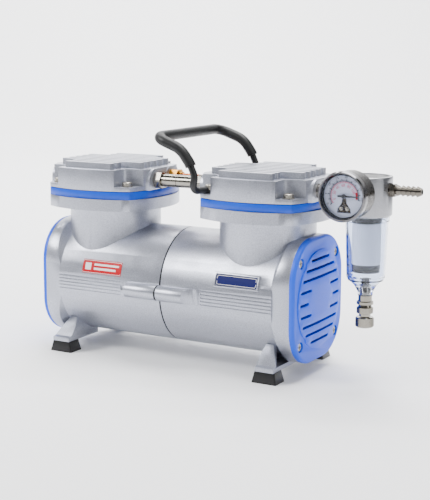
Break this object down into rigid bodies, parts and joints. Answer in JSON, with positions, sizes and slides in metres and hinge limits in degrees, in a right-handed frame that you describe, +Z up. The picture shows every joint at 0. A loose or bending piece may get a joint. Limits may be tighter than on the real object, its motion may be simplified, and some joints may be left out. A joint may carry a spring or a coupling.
{
  "type": "airbrush compressor",
  "caption": "Twin-cylinder oil-free air pump with finned heads, slotted end covers, carry handle, dial gauge and clear moisture trap",
  "frame": {"origin": "on the floor under the middle of the body, where the two housing halves meet", "axes": "+X along the crankshaft towards the filter end, +Z up, the clamp boss and gauge dial face -Y"},
  "size_m": [0.3523, 0.1425, 0.2039],
  "materials": {
    "silver_paint": "metallic silver lacquer on cast aluminium",
    "blue_paint": "gloss blue lacquer",
    "blue_plastic": "moulded blue plastic, soft gloss",
    "black_rubber": "moulded rubber",
    "zinc_steel": "zinc plated",
    "nickel": "satin nickel plate",
    "chrome_plate": "polished chrome",
    "brass_fitting": "turned brass",
    "copper_tube": "drawn copper",
    "black_paint": "semi-gloss black coat",
    "clear_plastic": "clear polycarbonate",
    "clear_glass": "clear",
    "white_element": "sintered white filter medium",
    "black_plastic": "moulded black plastic",
    "dial_white": "printed white dial",
    "gasket_black": "sealing gasket",
    "ptfe": "filled PTFE",
    "steel_plain": "ground steel",
    "cast_aluminium": "as cast",
    "copper_winding": "enamelled copper wire",
    "navy_print": "printed navy plate",
    "red_print": "printed red sticker"
  },
  "bodies": {
    "pump": {"housing_left": "silver_paint", "housing_right": "silver_paint", "parting_gasket": "gasket_black", "clamp_screws": "zinc_steel", "rubber_feet": "black_rubber", "foot_screws": "zinc_steel", "end_cover_left": "blue_plastic", "end_cover_right": "blue_plastic", "cover_screws": "zinc_steel", "cylinder_sleeve_left": "cast_aluminium", "cylinder_sleeve_right": "cast_aluminium", "head_gaskets": "gasket_black", "valve_plate_left": "blue_paint", "valve_plate_right": "blue_paint", "reed_valves": "steel_plain", "cylinder_head_left": "silver_paint", "cylinder_head_right": "silver_paint", "head_screws": "zinc_steel", "link_pipe_left": "nickel", "link_pipe_right": "nickel", "link_pipe_nuts": "nickel", "copper_pipe": "copper_tube", "copper_pipe_nuts": "brass_fitting", "outlet_barb": "nickel", "handle_rod": "black_paint", "handle_grip": "black_rubber", "filter_nipple": "nickel", "filter_head": "nickel", "filter_head_plug": "black_plastic", "gauge_case": "black_paint", "gauge_bezel": "chrome_plate", "gauge_dial": "dial_white", "gauge_lens": "clear_glass", "gauge_movement": "brass_fitting", "gauge_nipple": "nickel", "hose_barb": "nickel", "bowl_seal": "black_plastic", "filter_element": "white_element", "filter_retainer": "black_plastic", "stator_core": "steel_plain", "stator_windings": "copper_winding", "main_bearings": "steel_plain", "switch_box": "black_plastic", "cable_gland": "black_plastic", "nameplate": "navy_print", "label": "red_print"},
    "crankshaft": {"shaft": "steel_plain", "rotor": "steel_plain", "fans": "black_plastic", "eccentrics": "cast_aluminium"},
    "rod_left": {"piston_rod_left": "cast_aluminium", "piston_cup_left": "ptfe"},
    "rod_right": {"piston_rod_right": "cast_aluminium", "piston_cup_right": "ptfe"},
    "gauge_needle": {"gauge_pointer": "black_paint"},
    "bowl": {"filter_bowl": "clear_plastic", "drain_valve": "nickel"},
    "drain_tap": {"drain_knob": "nickel"},
    "rocker": {"rocker_switch": "black_plastic"}
  },
  "joints": [
    {"name": "crankshaft_turn", "type": "hinge", "parent": "pump", "child": "crankshaft", "pos_m": [0, 0, 0.0644], "axis": [1, 0, 0], "continuous": true},
    {"name": "left_rod_pin", "type": "hinge", "parent": "crankshaft", "child": "rod_left", "pos_m": [-0.0783, 0, 0.0684], "axis": [1, 0, 0], "continuous": true},
    {"name": "right_rod_pin", "type": "hinge", "parent": "crankshaft", "child": "rod_right", "pos_m": [0.0783, 0, 0.0604], "axis": [1, 0, 0], "continuous": true},
    {"name": "gauge_needle_turn", "type": "hinge", "parent": "pump", "child": "gauge_needle", "pos_m": [0.1737, -0.062, 0.1614], "axis": [0, -1, 0], "range_deg": [0, 200], "stiffness_Nm_per_rad": 0.0005},
    {"name": "bowl_drop", "type": "slide", "parent": "pump", "child": "bowl", "axis": [0, 0, -1], "range_m": [0, 0.044]},
    {"name": "drain_tap_turn", "type": "hinge", "parent": "bowl", "child": "drain_tap", "pos_m": [0.1737, -0.013, 0.052], "axis": [0, 0, 1], "range_deg": [0, 270]},
    {"name": "rocker_press", "type": "hinge", "parent": "pump", "child": "rocker", "pos_m": [-0.057, 0.061, 0.064], "axis": [-1, 0, 0], "range_deg": [0, 16]}
  ],
  "couplings": [
    {"joint": "left_rod_pin", "follows": "crankshaft_turn", "ratio": -1},
    {"joint": "right_rod_pin", "follows": "crankshaft_turn", "ratio": -1}
  ]
}
